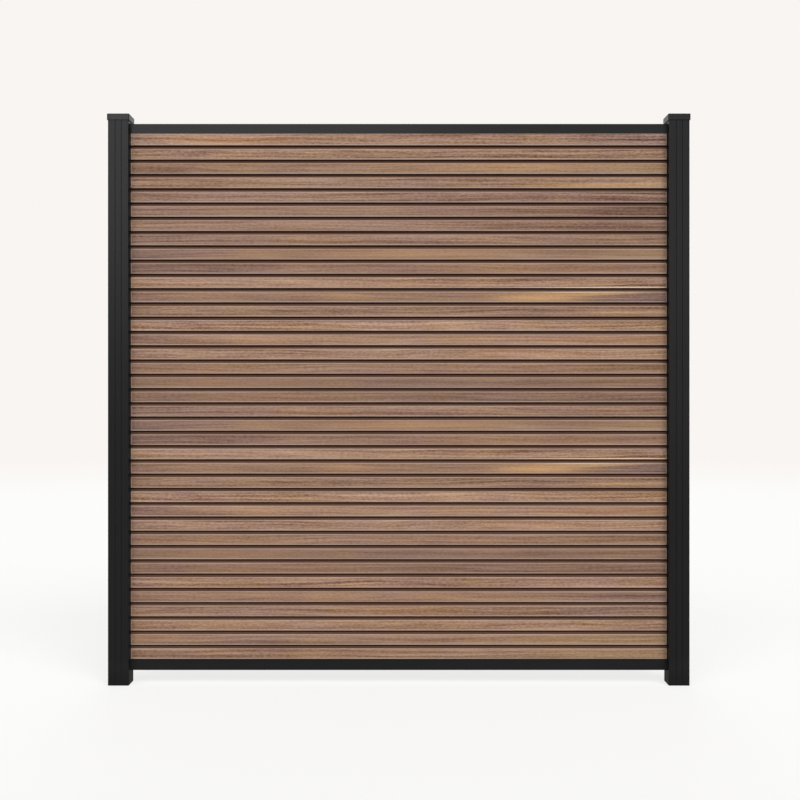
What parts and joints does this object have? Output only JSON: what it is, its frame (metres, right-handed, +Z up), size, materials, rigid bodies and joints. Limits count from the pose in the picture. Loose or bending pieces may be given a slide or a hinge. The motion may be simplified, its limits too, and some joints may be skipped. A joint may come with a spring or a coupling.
{
  "type": "composite garden screen",
  "caption": "Tall garden screen of slatted wood-composite boards stacked between channelled dark aluminium posts, with slim rails and square post caps.",
  "frame": {"origin": "on the ground, midway between the posts, in the middle of their depth", "axes": "+X to the viewer's right along the boards, +Y away from the viewer, +Z up the posts"},
  "size_m": [1.9092, 0.0732, 1.8716],
  "materials": {
    "composite": "warm brown wood-plastic composite with long grain streaks, matt",
    "powder_coat": "fine-textured charcoal powder coat on aluminium, satin",
    "bracket_metal": "mill-finish aluminium angle",
    "seal_rubber": "matt black rubber",
    "screw_steel": "plain stainless steel"
  },
  "bodies": {
    "root": {"board_01": "composite", "board_02": "composite", "board_03": "composite", "board_04": "composite", "board_05": "composite", "board_06": "composite", "board_07": "composite", "board_08": "composite", "board_09": "composite", "board_10": "composite", "board_11": "composite", "board_12": "composite", "board_seal_back_left": "seal_rubber", "board_seal_back_right": "seal_rubber", "board_seal_front_left": "seal_rubber", "board_seal_front_right": "seal_rubber", "bottom_rail": "powder_coat", "bottom_rail_bracket_left": "bracket_metal", "bottom_rail_bracket_right": "bracket_metal", "bracket_screws": "screw_steel", "closing_board": "composite", "cover_strip_left": "powder_coat", "cover_strip_right": "powder_coat", "foot_strip_left": "powder_coat", "foot_strip_right": "powder_coat", "head_strip_left": "powder_coat", "head_strip_right": "powder_coat", "post_cap_left": "powder_coat", "post_cap_right": "powder_coat", "post_left": "powder_coat", "post_right": "powder_coat", "top_rail": "powder_coat", "top_rail_bracket_left": "bracket_metal", "top_rail_bracket_right": "bracket_metal"}
  },
  "joints": []
}
